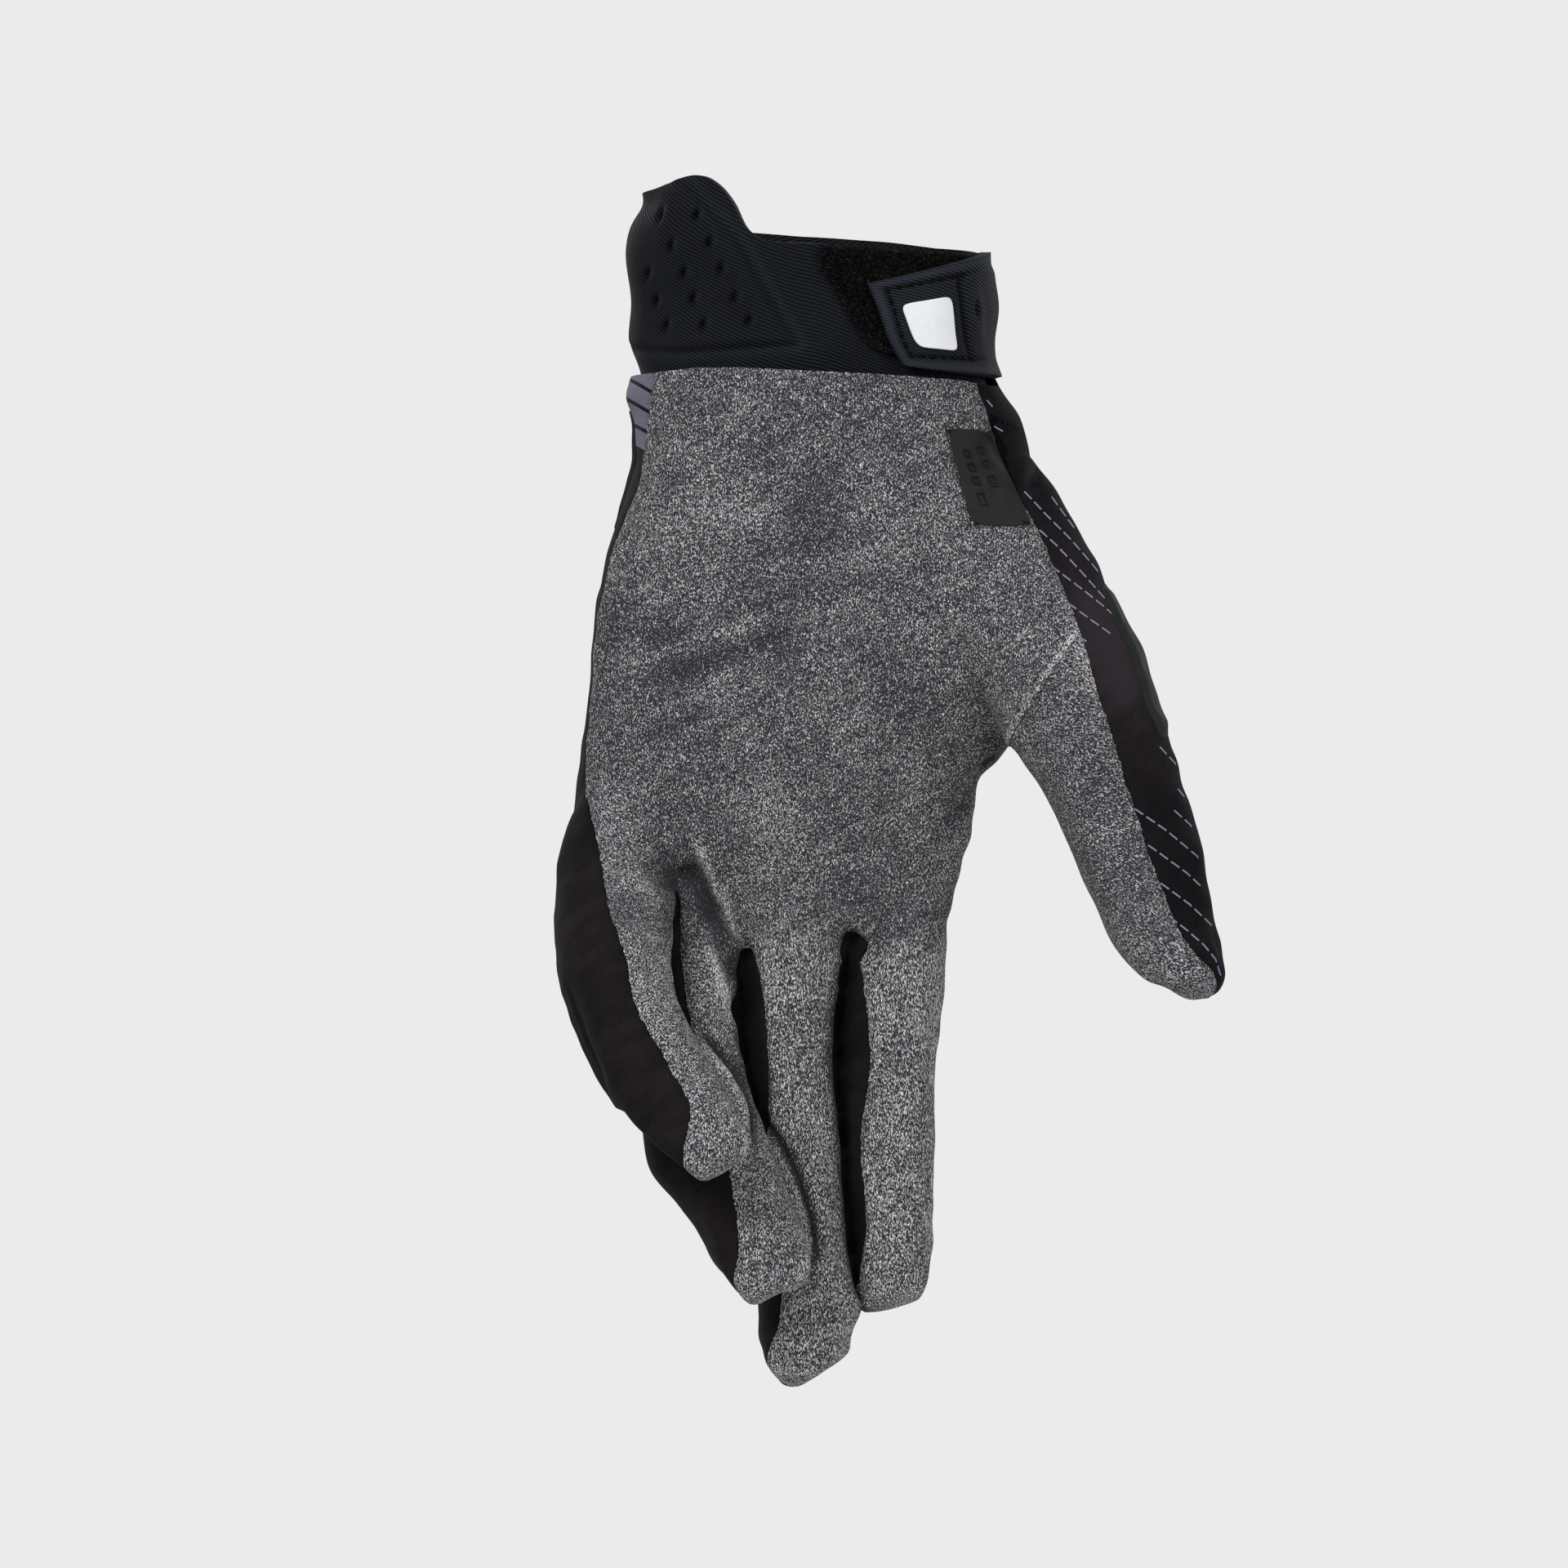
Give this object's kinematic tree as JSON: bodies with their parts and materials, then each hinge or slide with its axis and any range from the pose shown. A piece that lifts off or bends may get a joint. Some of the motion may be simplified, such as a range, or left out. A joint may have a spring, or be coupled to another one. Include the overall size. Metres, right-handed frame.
{
  "type": "motorcycle glove",
  "caption": "Left-hand riding glove in its worn form: suede palm, jersey back, ribbed cuff with a hook-and-loop wrist strap, rubber grip patch and guards.",
  "frame": {"origin": "middle of the wrist opening, level with the cuff's front rim", "axes": "+Z out of the wrist opening, away from the fingertips; -Y is the palm side; +X is the thumb side"},
  "size_m": [0.1373, 0.0677, 0.2469],
  "materials": {
    "suede": "mid-grey synthetic suede with light and dark flecks",
    "jersey": "black brushed stretch jersey with thin lavender dashes",
    "ribbed_neoprene": "blue-black ribbed cloth over neoprene",
    "strap_neoprene": "blue-black ribbed cloth with black stitching",
    "loop_pile": "black hook-and-loop pile",
    "white_badge": "flat white moulded film",
    "rubber": "dark matte moulded rubber"
  },
  "bodies": {
    "root": {"palm_panel": "suede", "thumb_front_panel": "suede", "back_panel": "jersey", "thumb_back_panel": "jersey", "little_finger_pad": "jersey", "cuff": "ribbed_neoprene", "closure_strap": "strap_neoprene", "loop_pad": "loop_pile", "badge": "white_badge", "grip_patch": "rubber", "thumb_guard": "rubber", "hand_edge_guard": "rubber"}
  },
  "joints": []
}
